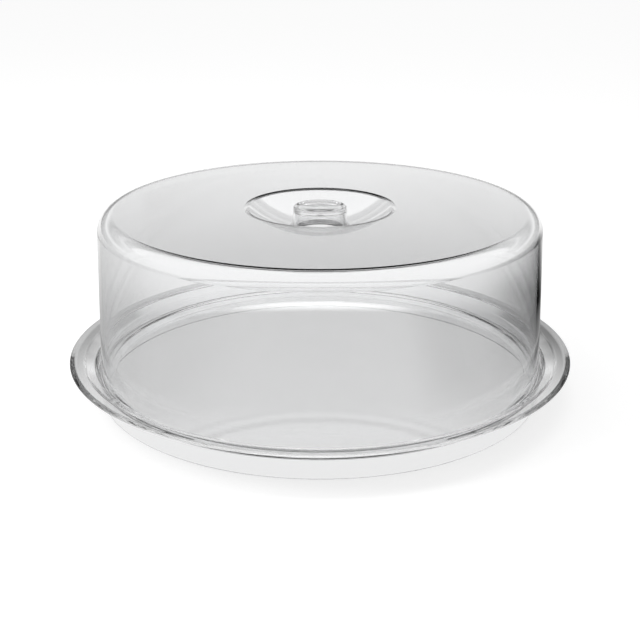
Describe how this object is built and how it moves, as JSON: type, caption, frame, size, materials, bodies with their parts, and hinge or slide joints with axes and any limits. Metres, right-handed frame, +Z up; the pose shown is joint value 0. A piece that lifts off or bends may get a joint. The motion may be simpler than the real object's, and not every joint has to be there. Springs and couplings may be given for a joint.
{
  "type": "cake carrier",
  "caption": "Clear cake keeper: a lift-off dome with a sunk finger knob stands in a round, wide-rimmed clear tray on a foot ring.",
  "frame": {"origin": "on the table, at the middle of the tray's foot ring", "axes": "+Z up along the axis that both pieces are turned about, along which the cover lifts; X and Y are alike"},
  "size_m": [0.34, 0.34, 0.1251],
  "materials": {
    "clear_tray": "polished clear moulding",
    "clear_cover": "polished clear moulding"
  },
  "bodies": {
    "base": {"tray": "clear_tray"},
    "lid": {"cover": "clear_cover"}
  },
  "joints": [
    {"name": "cover_lift", "type": "slide", "parent": "base", "child": "lid", "axis": [0, 0, 1], "range_m": [0, 0.14]}
  ]
}
